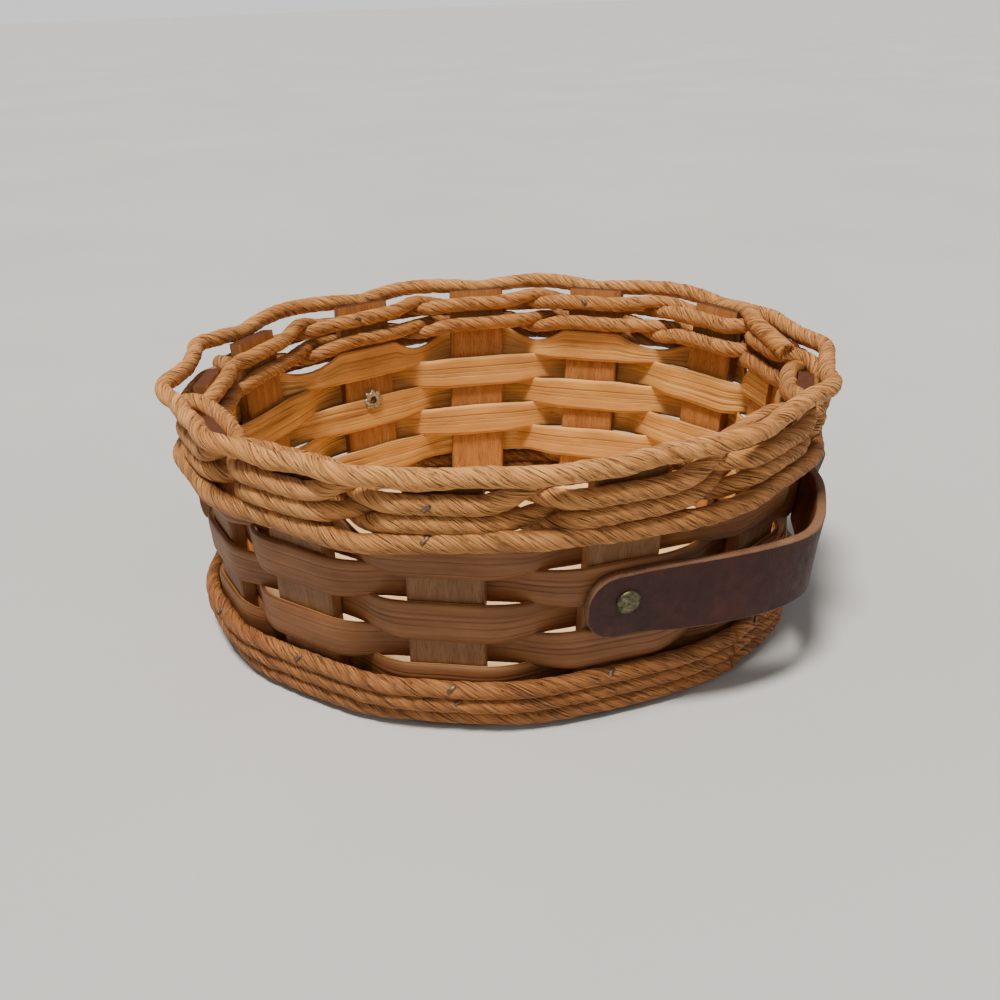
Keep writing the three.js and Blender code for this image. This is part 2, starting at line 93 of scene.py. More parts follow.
# Nails of the top cord: place in staves and height, then the arch, bulge and slack that follow
TOP_NAILS = [
    (-0.05, 86.1, 2.4, 3, 0),
    (0.87, 86, 2.2, 3, 0),
    (1.88, 87.6, 2.4, 3, 0),
    (2.78, 88.6, 2.6, 3, 0),
    (3.92, 88.6, 1.4, 1.6, 0),
    (4.88, 88.6, 0.4, 1.2, 0),
    (6.1, 89.2, 2.0, 2.4, 0),
    (7.02, 89.1, 2.4, 3, 0),
    (7.97, 89.4, 2.4, 3, 0),
    (8.95, 89.1, 2.6, 3, 0),
    (9.98, 89.3, 2.6, 3.2, 0.2),
    (10.97, 88.8, 2.2, 3.6, 0.6),
    (11.96, 87.4, 2.2, 3.2, 0.8),
]
TOP_SPLICE = 5.5
# Bottom cord of the rim: place in staves and height
BOTTOM_HEIGHTS = [
    (0, 66.2), (0.3, 65.6), (0.6, 66), (0.93, 67.2), (1.35, 68.6), (1.65, 67.9), (1.95, 66.4),
    (2.4, 66.4), (2.8, 67.2), (3.3, 67.6), (6, 68.6), (9, 68.8), (12.4, 66.6), (13, 66.2),
]
BOTTOM_BULGE = 1.3
BOTTOM_SPLICE = 7.5
# Twined rows: heights of a strand at the staves that it passes, and its rise on the way between them
TWINED_ROWS = [
    {"name": "upper", "outside": 80.6, "inside": 84, "going_in": 4.7, "coming_out": -1.0,
     "bulge": 1.2, "seed": 35},
    {"name": "lower", "outside": 74.4, "inside": 75.2, "going_in": 0.8, "coming_out": -4.6,
     "bulge": 0, "seed": 15},
]
CORD_SIDES = 24
CORD_STEP = 1.0
# Height of a cord as a share of its width, and the length in which its strands turn once
CORD_HEIGHT = 1.1
LAY_PITCH = 27.0
CORD_TURNS = 2 * math.pi * np.arange(CORD_SIDES) / CORD_SIDES
# Unevenness of a cord: slow changes of its thickness, its strands' ridges, and its squeeze at a crossing
CORD_SWELL = 0.05
CORD_SWELL_LENGTH = 22
CORD_RIDGE = 0.38
CORD_RIDGE_LENGTH = 60
CORD_RIDGE_DENSITY = 1.7
CORD_SLACK = 0.05
CORD_SQUEEZE = 0.14

# Loose end of the top cord: degrees round the wall, radius, height
TAIL = [
    (36, 105.8, 87.8), (41, 104.6, 88.9), (46, 104.2, 89.7), (51, 104.8, 90.3),
    (56, 107.8, 90.9), (61, 112.5, 90.9), (66, 116.2, 90.0), (73, 116.6, 89.4),
]
TAIL_START = 6.14
TAIL_END = 4.565
TAIL_SEED = 31
# Its fullness where it leaves the top cord, and where it is cut
TAIL_FULLNESS = (0.96, 1.1)
# Cut face of the loose end, from its rim inwards: share of the cord's radius, and how far it stands out
CUT_FACE = [(1.05, 0.5), (0.96, 1.0), (0.74, 1.15), (0.5, 0.6), (0.3, 0.9), (0.12, 0.3)]
CUT_ROUGHNESS = 0.35
CUT_FRAY_DENSITY = 3
CUT_FRAY_CHANGE = 1.7
CUT_RING_SPACING = 0.8

# Staples: cord, place round the wall in staves, place round the cord in degrees up from its outside
STAPLES = [
    ("rim_twine_upper_1", 0.933, 0),
    ("rim_twine_upper_1", 4.95, 5),
    ("rim_twine_upper_1", 9.06, 0),
    ("rim_twine_upper_2", 9.09, 160),
    ("rim_twine_upper_2", 7.06, 165),
    ("rim_cord_bottom", 13.933, 48),
    ("rim_cord_bottom", 9.05, 40),
    ("rim_cord_bottom", 16.95, 40),
    ("base_cord_middle", 14.07, 50),
    ("base_cord_middle", 4.95, 45),
    ("base_cord_middle", 9.03, 45),
]
STAPLES += [("base_cord_upper", k + 0.03 * (-1) ** k, 20 + 6 * (k % 3)) for k in range(3, 15)]
STAPLES += [("base_cord_upper", 14.96, 50)]
STAPLE_HALF_LENGTH = 1.7
STAPLE_WIDTH = 1.25
# Half of its middle line from one leg's end, as length from that end and height, and its section as
# share of its width and height
STAPLE_SPINE = [(0, -1.3), (0.1, -0.25), (0.4, 0.02)]
STAPLE_CROWN = 0.1
STAPLE_SECTION = [(0.5, 0.08), (0.35, 0.22), (-0.35, 0.22), (-0.5, 0.08), (-0.5, -0.2), (0.5, -0.2)]
STAPLE_SINK = 0.55
STAPLE_DENT = 1.0
STAPLE_DENT_REACH = 2.1

# Handles
STRAP_WIDTH = 22.4
STRAP_THICKNESS = 3.4
STRAP_TIP_RADIUS = 9.6
STRAP_CORNER = 0.7
STRAP_STEP = 1.5
STRAP_TIP_ROWS = [0.05, 0.3, 0.8, 1.6, 2.6, 4, 5.8]
STRAP_SAMPLES = 700
STRAP_LEAN_REACH = 12
STRAP_WOBBLE = 0.15
STRAP_WOBBLE_LENGTH = 14
# Two distances out from the middle of the line through a strap's rivets, at which two points are worked out
FLEX_START = 1.5
FLEX_END = 17
RIVET_HEIGHTS = {"near": 43.1, "far": 47}
TAB_OFFSET = SEAT + SPLINT_THICKNESS + SEAT + STRAP_THICKNESS / 2
# Middle line of a strap: share of the way between its rivets, distance off the wall, height, and lean
# in degrees
STRAP_SHAPE = [
    (-0.115, 0.7, 41.4, 5),
    (-0.05, 0.13, 41.4, 5.7),
    (0, 0, 41.4, 5.7),
    (0.05, 0.13, 41.4, 5.7),
    (0.16, 3.2, 41.2, -3),
    (0.318, 8.7, 41, -7),
    (0.459, 13.3, 40.7, -2),
    (0.555, 14.4, 40.5, 2),
    (0.634, 12.3, 40.7, 7),
    (0.7, 9.6, 41.2, 11),
    (0.859, 3.9, 43.4, 14),
    (0.95, 0.13, 44.9, 5.7),
    (1, 0, 44.9, 5.7),
    (1.05, 0.13, 44.9, 5.7),
    (1.1, 2.6, 46.1, 14),
    (1.155, 7, 48.4, 22),
]
NEAR_RIVET_KNOT = 2
FAR_RIVET_KNOT = 12
# Each handle's side, and the staves of its near and far rivets
HANDLES = [("right", 2, 4), ("left", 11, 9)]

# Rivets
RIVET_SIDES = 40
RIVET_SHANK_RADIUS = 1.6
RIVET_SHANK_TAIL = 0.5
RIVET_HEAD_RADIUS = 4.0
RIVET_HEAD_GAP = 0.1
RIVET_SKIRT = 0.3
RIVET_DOME_RADIUS = 3.9
RIVET_DOME_BASE = 0.4
RIVET_DOME_HEIGHT = 1.2
RIVET_DOME_TURNS = np.linspace(0.15, 1.5, 7)
STAR_PETALS = 8
STAR_RADIUS = 4.8
STAR_GAP = 0.15
STAR_NOTCH = 0.13
STAR_NOTCH_GROWTH = 1.2
STAR_CURL = 0.15
# The star's rings from the hole outwards and back under: share of its radius, and height off the splint
STAR_RINGS = [(0.32, 0.3), (0.5, 1.0), (0.78, 0.95), (1.0, 0.35), (1.0, 0.0), (0.6, 0.0)]

# Painted shade on the outside faces of splint and staves, and darker end grain on the slats' tops, as
# factors on the bare wood
SPLINT_OUTSIDE_SHADE = (0.3, 0.235, 0.24)
STAVE_OUTSIDE_SHADE = (0.44, 0.48, 0.64)
END_GRAIN_DARKENING = (0.36, 0.22, 0.13)

# Camera and light, in metres, turned into the object's frame by VIEW_TURN
VIEW_TURN = math.radians(30.6)
CAMERA_PLACE = (0.0380, -0.4252, 0.2112)
CAMERA_FORWARD = (-0.0795, 0.9186, -0.3871)
CAMERA_DOWN = (-0.0036, -0.3886, -0.9214)
CAMERA_LENS = 42.72
SUN_PLACE = (-0.12, -0.25, 1.0)
SUN_SPREAD = math.radians(14)
SUN_STRENGTH = 5.2
SUN_COLOUR = (1.0, 0.95, 0.87)
FILL_PLACE = (0.3, -1.2, 0.7)
FILL_TARGET = (0, 0, 0.05)
FILL_SIZE = 1.0
FILL_POWER = 1.5
FILL_COLOUR = (1.0, 0.97, 0.93)
SKY_TONES = [(0.0, 0.98), (0.03, 0.92), (0.15, 0.36), (1.0, 0.3)]
FLOOR_REACH = 60.0
FLOOR_DROP = 0.0002

COS_LEAN = math.cos(WALL_LEAN)
TAN_LEAN = math.tan(WALL_LEAN)

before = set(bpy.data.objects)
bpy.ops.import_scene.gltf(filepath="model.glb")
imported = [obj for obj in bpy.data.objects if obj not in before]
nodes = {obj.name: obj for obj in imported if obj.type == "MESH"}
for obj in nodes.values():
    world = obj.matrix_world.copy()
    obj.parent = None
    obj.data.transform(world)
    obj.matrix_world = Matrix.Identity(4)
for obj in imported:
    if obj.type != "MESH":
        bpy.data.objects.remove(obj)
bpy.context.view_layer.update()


# Paths round the wall, the same as the solids'
def stave_angle(k):
    own = k % STAVE_COUNT
    return math.radians(FIRST_STAVE_ANGLE + 360 * k / STAVE_COUNT + STAVE_OFFSETS[own])


def angle_at(u):
    k = math.floor(u)
    return stave_angle(k) + (stave_angle(k + 1) - stave_angle(k)) * (u - k)


def rim_rise(angle):
    return -RIM_DIP * math.cos(angle - RIM_LOW_ANGLE)


def drifted(points):
    """The wall's drift to one side as it rises."""
    points = np.array(points, float)
    shift = DRIFT * points[..., 2:3]
    points[..., 0:2] += shift * np.array([math.cos(DRIFT_ANGLE), math.sin(DRIFT_ANGLE)])
    return points


def wall_radius(z):
    return FOOT_RADIUS + z * TAN_LEAN


def gap_share(u):
    k = math.floor(u)
    start = stave_angle(k) + HUG_ANGLE
    end = stave_angle(k + 1) - HUG_ANGLE
    return min(max((angle_at(u) - start) / (end - start), 0), 1)


def strand_radius(u, z, offset, bulge=0.0):
    k = math.floor(u)
    angle = angle_at(u)
    mid = wall_radius(z) - STAVE_THICKNESS / 2 / COS_LEAN
    here = mid + offset(k) / COS_LEAN
    after = mid + offset(k + 1) / COS_LEAN
    share = gap_share(u)
    if share <= 0:
        return here / math.cos(angle - stave_angle(k))
    if share >= 1:
        return after / math.cos(stave_angle(k + 1) - angle)
    swing = (1 - math.cos(math.pi * share)) / 2
    return (here + (after - here) * swing) / math.cos(HUG_ANGLE) + bulge * math.sin(math.pi * share)


def polar(angle, radius, z):
    return np.array([radius * math.cos(angle), radius * math.sin(angle), z])


def smooth(x):
    return x * x * (3 - 2 * x)


def mix(a, b, t):
    return a + (b - a) * t


def softened(points, reach):
    """Evens out a polyline over a few points each way and keeps its ends."""
    kernel = np.exp(-0.5 * (np.arange(-2 * reach, 2 * reach + 1) / reach) ** 2)
    kernel /= kernel.sum()
    before = 2 * points[0] - points[2 * reach:0:-1]
    after = 2 * points[-1] - points[-2:-2 * reach - 2:-1]
    extended = np.vstack([before, points, after])
    return np.stack([np.convolve(extended[:, i], kernel, "valid") for i in range(3)], axis=1)


def axes_along(points, lean):
    """Out and up axes at each point of a path round the wall."""
    along = np.gradient(points, axis=0)
    along /= np.linalg.norm(along, axis=1)[:, None]
    radial = points.copy()
    radial[:, 2] = 0
    radial /= np.linalg.norm(radial, axis=1)[:, None]
    lean = np.broadcast_to(lean, len(points))[:, None]
    up = np.sin(lean) * radial + np.cos(lean) * np.array([0, 0, 1.0])
    out = np.cross(along, up)
    out *= np.sign((out * radial).sum(1))[:, None]
    out /= np.linalg.norm(out, axis=1)[:, None]
    up = up - (up * along).sum(1)[:, None] * along
    up /= np.linalg.norm(up, axis=1)[:, None]
    return out, up


def lengths_along(points):
    return np.concatenate([[0], np.cumsum(np.linalg.norm(np.diff(points, axis=0), axis=1))])


def linked(name, mesh):
    obj = bpy.data.objects.new(name, mesh)
    bpy.context.scene.collection.objects.link(obj)
    return obj


def skin(name, rings, lengths, materials, face_material=None):
    """A closed tube through rings of points, with UVs: turns round it, and millimetres along it.

    Its two end faces take the last material.
    """
    count, sides = rings.shape[:2]
    verts = drifted(rings.reshape(-1, 3)) * MM
    i, j = np.meshgrid(np.arange(count - 1), np.arange(sides), indexing="ij")
    i, j = i.ravel(), j.ravel()
    a = i * sides + j
    b = i * sides + (j + 1) % sides
    quads = np.stack([a, b, b + sides, a + sides], axis=1)
    first, second = rings[0], rings[1]
    turned = np.cross(first[1] - first[0], second[0] - first[0])
    if np.dot(turned, first[0] - first.mean(0)) < 0:
        quads = quads[:, ::-1]
        uv_j = np.stack([j, j + 1, j + 1, j], axis=1)
        uv_i = np.stack([i + 1, i + 1, i, i], axis=1)
        ends = [list(range(sides)), list(range(count * sides - 1, (count - 1) * sides - 1, -1))]
    else:
        uv_j = np.stack([j, j + 1, j + 1, j], axis=1)
        uv_i = np.stack([i, i, i + 1, i + 1], axis=1)
        ends = [list(range(sides - 1, -1, -1)), list(range((count - 1) * sides, count * sides))]
    mesh = bpy.data.meshes.new(name)
    mesh.from_pydata(verts.tolist(), [], quads.tolist() + ends)
    uv = mesh.uv_layers.new(name="lay")
    flat = np.stack([uv_j / sides, np.asarray(lengths)[uv_i]], axis=2).reshape(-1)
    flat = np.concatenate([flat, np.zeros(4 * sides)])
    uv.data.foreach_set("uv", flat.astype(np.float32))
    for material in materials:
        mesh.materials.append(material)
    if face_material is not None:
        index = np.concatenate([face_material(j), [len(materials) - 1] * 2]).astype(np.int32)
        mesh.polygons.foreach_set("material_index", index)
    mesh.polygons.foreach_set("use_smooth", np.concatenate([np.ones(len(quads), bool), [False, False]]))
    mesh.update()
    return linked(name, mesh)


# Materials
class Shader:
    """One material, built up node by node."""

    def __init__(self, name):
        self.material = bpy.data.materials.new(name)
        self.material.use_nodes = True
        self.tree = self.material.node_tree
        self.surface = self.tree.nodes["Principled BSDF"]

    def add(self, kind, inputs=None, **settings):
        node = self.tree.nodes.new(kind)
        for key, value in settings.items():
            setattr(node, key, value)
        for key, value in (inputs or {}).items():
            self.feed(node.inputs[key], value)
        return node

    def feed(self, socket, value):
        if isinstance(value, bpy.types.NodeSocket):
            self.tree.links.new(value, socket)
        else:
            socket.default_value = value

    def math(self, operation, *values):
        node = self.add("ShaderNodeMath", operation=operation)
        for socket, value in zip(node.inputs, values):
            self.feed(socket, value)
        return node.outputs[0]

    def vector(self, x, y, z):
        return self.add("ShaderNodeCombineXYZ", {"X": x, "Y": y, "Z": z}).outputs[0]

    def split(self, vector):
        return self.add("ShaderNodeSeparateXYZ", {0: vector}).outputs

    def noise(self, vector, scale, detail=4, roughness=0.6):
        inputs = {"Vector": vector, "Scale": scale, "Detail": detail, "Roughness": roughness}
        return self.add("ShaderNodeTexNoise", inputs).outputs["Fac"]

    def ramp(self, value, stops):
        node = self.add("ShaderNodeValToRGB", {"Fac": value})
        elements = node.color_ramp.elements
        while len(elements) < len(stops):
            elements.new(0.5)
        for element, (position, colour) in zip(elements, stops):
            element.position = position
            element.color = (*colour, 1) if isinstance(colour, tuple) else (colour, colour, colour, 1)
        return node.outputs["Color"]

    def blend(self, share, a, b, mode="MIX"):
        node = self.add("ShaderNodeMix", data_type="RGBA", blend_type=mode)
        self.feed(node.inputs["Factor"], share)
        self.feed(node.inputs["A"], a if isinstance(a, bpy.types.NodeSocket) else (*a, 1))
        self.feed(node.inputs["B"], b if isinstance(b, bpy.types.NodeSocket) else (*b, 1))
        return node.outputs["Result"]

    def bump(self, height, strength, distance, normal=None):
        inputs = {"Height": height, "Strength": strength, "Distance": distance}
        if normal is not None:
            inputs["Normal"] = normal
        return self.add("ShaderNodeBump", inputs).outputs["Normal"]

    def outward(self):
        """1 on faces that look away from the basket's axis and 0 on those that look at it: where the
        outside's painted shade goes.
        """
        x, y, _ = self.split(self.add("ShaderNodeTexCoord").outputs["Object"])
        across, deep, _ = self.split(self.add("ShaderNodeNewGeometry").outputs["Normal"])
        facing = self.math("ADD", self.math("MULTIPLY", x, across), self.math("MULTIPLY", y, deep))
        return self.ramp(self.math("MULTIPLY_ADD", facing, 6.0, 0.5), [(0.35, 0.0), (0.65, 1.0)])

    def finish(self, colour, roughness, normal, **constants):
        self.feed(self.surface.inputs["Base Color"], colour)
        self.feed(self.surface.inputs["Roughness"], roughness)
        if normal is not None:
            self.feed(self.surface.inputs["Normal"], normal)
        for key, value in constants.items():
            self.surface.inputs[key.replace("_", " ")].default_value = value
        return self.material


def mixed(a, b, t):
    return tuple(x + (y - x) * t for x, y in zip(a, b))


def srgb(r, g, b):
    return tuple(((c / 255 + 0.055) / 1.055) ** 2.4 if c > 10 else c / 255 / 12.92 for c in (r, g, b))


def cord_material(name, dark, middle, light):
    """Twisted fibre: smooth pale ridges with thin dark creases between them, along the cord's lay."""
    s = Shader(name)
    turn, along, _ = s.split(s.add("ShaderNodeUVMap", uv_map="lay").outputs[0])
    phase = s.math("MULTIPLY", s.math("ADD", turn, s.math("DIVIDE", along, LAY_PITCH)), 2 * math.pi)
    x, y = s.math("COSINE", phase), s.math("SINE", phase)
    ridges = s.noise(s.vector(x, y, s.math("MULTIPLY", along, 0.016)), 1.8, 2, 0.5)
    folds = s.noise(s.vector(x, y, s.math("MULTIPLY_ADD", along, 0.024, 4.0)), 2.7, 2, 0.5)
    hairs = s.noise(s.vector(x, y, s.math("MULTIPLY", along, 0.03)), 11, 3, 0.6)
    patches = s.noise(s.vector(x, y, s.math("MULTIPLY", along, 0.05)), 0.8, 3)
    groove = s.math("ABSOLUTE", s.math("SUBTRACT", ridges, 0.5))
    fold = s.math("ABSOLUTE", s.math("SUBTRACT", folds, 0.46))
    colour = s.ramp(hairs, [(0.3, mixed(dark, middle, 0.88)), (0.45, middle), (0.7, light)])
    # The dark creases are partly the fibre's own tone and partly painted shade in the folds of the twist
    colour = s.blend(s.ramp(groove, [(0.0, 0.5), (0.012, 0.18), (0.03, 0.0)]), colour, dark)
    colour = s.blend(s.ramp(fold, [(0.0, 0.9), (0.01, 0.4), (0.022, 0.0)]), colour, dark)
    shade = s.ramp(patches, [(0.3, srgb(216, 200, 182)), (0.7, srgb(255, 255, 255))])
    colour = s.blend(0.8, colour, shade, "MULTIPLY")
    drift = s.noise(s.add("ShaderNodeTexCoord").outputs["Object"], 22, 3)
    tint = s.ramp(drift, [(0.3, srgb(222, 205, 184)), (0.7, srgb(255, 252, 245))])
    colour = s.blend(0.8, colour, tint, "MULTIPLY")
    depth = s.ramp(groove, [(0.0, 0.0), (0.03, 0.6), (0.1, 1.0)])
    crease = s.ramp(fold, [(0.0, 0.0), (0.06, 1.0)])
    normal = s.bump(crease, 0.7, 0.0006, s.bump(hairs, 0.3, 0.0002, s.bump(depth, 0.7, 0.0007)))
    return s.finish(colour, s.ramp(hairs, [(0.3, 0.8), (0.7, 0.6)]), normal, Specular_IOR_Level=0.3)


def splint_material():
    """Flat split wood: quiet streaks and a few thin dark creases that run along the strip."""
    s = Shader("splint wood")
    turn, along, _ = s.split(s.add("ShaderNodeUVMap", uv_map="lay").outputs[0])
    across = s.math("MULTIPLY", turn, 28.0)
    wander = s.noise(s.vector(0.0, s.math("MULTIPLY", along, 0.02), 5.0), 1.0, 2)
    lane = s.math("ADD", across, wander)
    streaks = s.noise(s.vector(lane, s.math("MULTIPLY", along, 0.012), 0.0), 1.1, 5, 0.6)
    fine = s.noise(s.vector(lane, s.math("MULTIPLY", along, 0.03), 3.0), 6.0, 4, 0.7)
    creases = s.noise(s.vector(lane, s.math("MULTIPLY", along, 0.009), 21.0), 0.34, 2, 0.5)
    groove = s.math("ABSOLUTE", s.math("SUBTRACT", creases, 0.5))
    spread = s.vector(s.math("MULTIPLY", across, 0.12), s.math("MULTIPLY", along, 0.03), 9.0)
    patches = s.noise(spread, 1.0, 3)
    grain = [(0.32, srgb(220, 158, 86)), (0.5, srgb(232, 173, 98)), (0.68, srgb(243, 190, 116))]
    colour = s.ramp(streaks, grain)
    colour = s.blend(s.ramp(fine, [(0.45, 0.0), (0.75, 0.14)]), colour, srgb(156, 98, 50))
    # The thin dark creases are partly the wood's own tone and partly painted shade inside them
    colour = s.blend(s.ramp(groove, [(0.0, 0.7), (0.008, 0.3), (0.022, 0.0)]), colour, srgb(98, 56, 26))
    # Painted shade: the splint's outside faces are darkened where they look away from the basket's axis
    colour = s.blend(s.outward(), colour, s.blend(1.0, colour, SPLINT_OUTSIDE_SHADE, "MULTIPLY"))
    shade = s.ramp(patches, [(0.3, srgb(202, 184, 162)), (0.7, srgb(255, 250, 240))])
    colour = s.blend(0.85, colour, shade, "MULTIPLY")
    depth = s.ramp(groove, [(0.0, 0.0), (0.05, 1.0)])
    normal = s.bump(fine, 0.2, 0.0002, s.bump(streaks, 0.3, 0.0005, s.bump(depth, 0.5, 0.0005)))
    return s.finish(colour, s.ramp(streaks, [(0.3, 0.66), (0.7, 0.5)]), normal, Specular_IOR_Level=0.4)


def upright_wood():
    """Open vertical grain on the staves: short dark pores on a quiet ground."""
    s = Shader("stave wood")
    x, y, z = s.split(s.add("ShaderNodeTexCoord").outputs["Object"])
    flow = s.noise(s.vector(x, y, s.math("MULTIPLY", z, 0.25)), 45, 2)
    bend = s.math("MULTIPLY", flow, 0.0015)
    along = s.math("MULTIPLY", z, 0.05)
    pores = s.noise(s.vector(s.math("ADD", x, bend), s.math("ADD", y, bend), along), 2300, 3, 0.6)
    bands = s.noise(s.vector(s.math("ADD", x, bend), s.math("ADD", y, bend), along), 300, 3, 0.6)
    colour = s.ramp(bands, [(0.3, srgb(156, 98, 46)), (0.5, srgb(172, 112, 56)), (0.7, srgb(188, 128, 68))])
    colour = s.blend(s.ramp(pores, [(0.5, 0.0), (0.62, 0.55)]), colour, srgb(122, 66, 28))
    # Painted shade: the staves' outside faces are darkened where they look away from the basket's axis
    colour = s.blend(s.outward(), colour, s.blend(1.0, colour, STAVE_OUTSIDE_SHADE, "MULTIPLY"))
    _, _, upright = s.split(s.add("ShaderNodeNewGeometry").outputs["Normal"])
    # The slats' tops, whose faces look up, are darkened
    end_grain = s.ramp(upright, [(0.5, 0.0), (0.7, 1.0)])
    colour = s.blend(end_grain, colour, s.blend(1.0, colour, END_GRAIN_DARKENING, "MULTIPLY"))
    normal = s.bump(pores, 0.4, 0.0003, s.bump(bands, 0.2, 0.0005))
    return s.finish(colour, 0.62, normal, Specular_IOR_Level=0.4)


def board_material():
    """Smooth pale board with a quiet grain along X."""
    s = Shader("pale board")
    x, y, z = s.split(s.add("ShaderNodeTexCoord").outputs["Object"])
    wander = s.noise(s.vector(s.math("MULTIPLY", x, 0.3), y, z), 14, 2)
    vector = s.vector(s.math("MULTIPLY", x, 0.04), s.math("ADD", y, s.math("MULTIPLY", wander, 0.02)), z)
    grain = s.noise(vector, 260, 5, 0.6)
    broad = s.noise(vector, 60, 2)
    colour = s.ramp(grain, [(0.3, srgb(226, 188, 134)), (0.7, srgb(248, 220, 172))])
    shade = s.ramp(broad, [(0.3, srgb(226, 212, 192)), (0.7, srgb(255, 255, 255))])
    return s.finish(s.blend(0.8, colour, shade, "MULTIPLY"), 0.5, s.bump(grain, 0.2, 0.0003))


def leather_material():
    """Oxblood grain side: pebbled, rubbed paler in patches."""
    s = Shader("oxblood leather")
    place = s.add("ShaderNodeTexCoord").outputs["Object"]
    pebble = s.add("ShaderNodeTexVoronoi", {"Vector": place, "Scale": 1500.0}).outputs["Distance"]
    creases = s.noise(place, 240, 5, 0.65)
    wear = s.noise(place, 55, 4, 0.6)
    colour = s.ramp(wear, [(0.3, srgb(44, 20, 16)), (0.55, srgb(58, 26, 20)), (0.78, srgb(90, 38, 24))])
    colour = s.blend(s.ramp(creases, [(0.4, 0.0), (0.7, 0.5)]), colour, srgb(36, 18, 16))
    normal = s.bump(creases, 0.4, 0.0006, s.bump(pebble, 0.35, 0.0003))
    return s.finish(colour, s.ramp(creases, [(0.35, 0.5), (0.7, 0.68)]), normal, Specular_IOR_Level=0.3)


def fibre_material(name, dark, light, roughness):
    """Suede back or raw cut edge of the leather."""
    s = Shader(name)
    place = s.add("ShaderNodeTexCoord").outputs["Object"]
    nap = s.noise(place, 1400, 5, 0.7)
    broad = s.noise(place, 90, 3)
    stops = [(0.3, dark), (0.7, light)]
    colour = s.blend(0.5, s.ramp(nap, stops), s.ramp(broad, stops))
    return s.finish(colour, roughness, s.bump(nap, 0.6, 0.0003), Specular_IOR_Level=0.2)


def metal_material(name, dark, light, roughness):
    """Dull metal, tarnished in the hollows."""
    s = Shader(name)
    place = s.add("ShaderNodeTexCoord").outputs["Object"]
    tarnish = s.noise(place, 700, 5, 0.65)
    colour = s.ramp(tarnish, [(0.35, dark), (0.65, light)])
    rough = s.ramp(tarnish, [(0.35, roughness + 0.2), (0.65, roughness)])
    return s.finish(colour, rough, s.bump(tarnish, 0.25, 0.0002), Metallic=0.85)


rim_cord_look = cord_material("rim cord", srgb(104, 60, 28), srgb(224, 160, 94), srgb(244, 188, 120))
twine_look = cord_material("twined cord", srgb(96, 54, 26), srgb(206, 145, 84), srgb(228, 174, 110))
# Painted shade: a darker copy of the rim cord's colours for the lower rim cord
shaded_low_cord_look = cord_material("lower rim cord in painted shade", srgb(92, 52, 24), srgb(190, 134, 78), srgb(212, 158, 100))
foot_cord_look = cord_material("foot cord", srgb(62, 34, 16), srgb(164, 108, 60), srgb(196, 140, 84))
splint_look = splint_material()
stave_look = upright_wood()
board_look = board_material()
leather_look = leather_material()
suede_look = fibre_material("suede back", srgb(92, 52, 30), srgb(150, 92, 54), 0.95)
edge_look = fibre_material("raw leather edge", srgb(84, 56, 40), srgb(144, 106, 78), 0.85)
brass_look = metal_material("antique brass", srgb(60, 54, 38), srgb(116, 110, 84), 0.36)
steel_look = metal_material("staple wire", srgb(80, 60, 44), srgb(136, 116, 98), 0.45)
star_look = metal_material("bright clinch", srgb(120, 106, 80), srgb(216, 206, 178), 0.36)


# Board and staves: the solids with softened edges and their wood, and eight staves cut a little lower
def dress(node, material, bevel):
    obj = nodes[node]
    for slot in obj.material_slots:
        slot.material = material
    soften(obj, bevel)


def soften(obj, bevel):
    edge = obj.modifiers.new("softened edges", "BEVEL")
    edge.width = bevel * MM
    edge.segments = 2
    edge.limit_method = "ANGLE"
    edge.angle_limit = math.radians(40)


def trimmed_stave(k, cut):
    """The stave again, with its top end a little lower, tucked behind the top cord."""
    mesh = nodes[f"stave_{k + 1:02d}"].data.copy()
    top = max(v.co.z for v in mesh.vertices)
    for vertex in mesh.vertices:
        if vertex.co.z > top - STAVE_END_DEPTH * MM:
            outward = Vector((vertex.co.x, vertex.co.y, 0)).normalized()
            vertex.co -= (outward * TAN_LEAN + Vector((0, 0, 1))) * cut * MM
    obj = linked(f"slat_{k + 1:02d}", mesh)
    soften(obj, STAVE_BEVEL)
    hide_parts(f"stave_{k + 1:02d}")
    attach(obj, "basket")


for k in range(STAVE_COUNT):
    dress(f"stave_{k + 1:02d}", stave_look, STAVE_BEVEL)
for k, cut in STAVE_TRIMS.items():
    trimmed_stave(k, cut)
dress("base_board", board_look, BOARD_BEVEL)


# Cords
def staple(name, centre, normal, along):
    """A flat wire staple with its two legs bent into the cord, set slantwise."""
    lift = np.cross(normal, along)
    lift *= np.sign(lift[2])
    length = (along + lift) / np.linalg.norm(along + lift)
    width = np.cross(normal, length)
    leg = [(-STAPLE_HALF_LENGTH + a, h) for a, h in STAPLE_SPINE]
    spine = leg + [(0, STAPLE_CROWN)] + [(-a, h) for a, h in reversed(leg)]
    rings = np.array([
        [centre + length * a + normal * (h + v) + width * w * STAPLE_WIDTH for w, v in STAPLE_SECTION]
        for a, h in spine
    ])
    obj = skin(name, rings, np.arange(len(spine)), [steel_look])
    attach(obj, "basket")


def twisted_rings(points, lengths, axes, radius, seed, fullness, flatness):
    """Rings round a cord's path, with its strands' ridges winding along the lay."""
    out, up = axes
    rings = np.empty((len(points), CORD_SIDES, 3))
    for i, (point, s) in enumerate(zip(points, lengths)):
        swell = radius * (1 + CORD_SWELL * noise.noise(Vector((s / CORD_SWELL_LENGTH, seed, 0))))
        swell *= fullness[i]
        for j, turn in enumerate(CORD_TURNS):
            lay = turn + 2 * math.pi * s / LAY_PITCH
            x, y = CORD_RIDGE_DENSITY * math.cos(lay), CORD_RIDGE_DENSITY * math.sin(lay)
            strand = noise.noise(Vector((x, y, s / CORD_RIDGE_LENGTH + 7 * seed)))
            r = swell + CORD_RIDGE * strand - CORD_SLACK
            rings[i, j] = point + r * (math.cos(turn) * out[i] + flatness[i] * math.sin(turn) * up[i])
    return rings


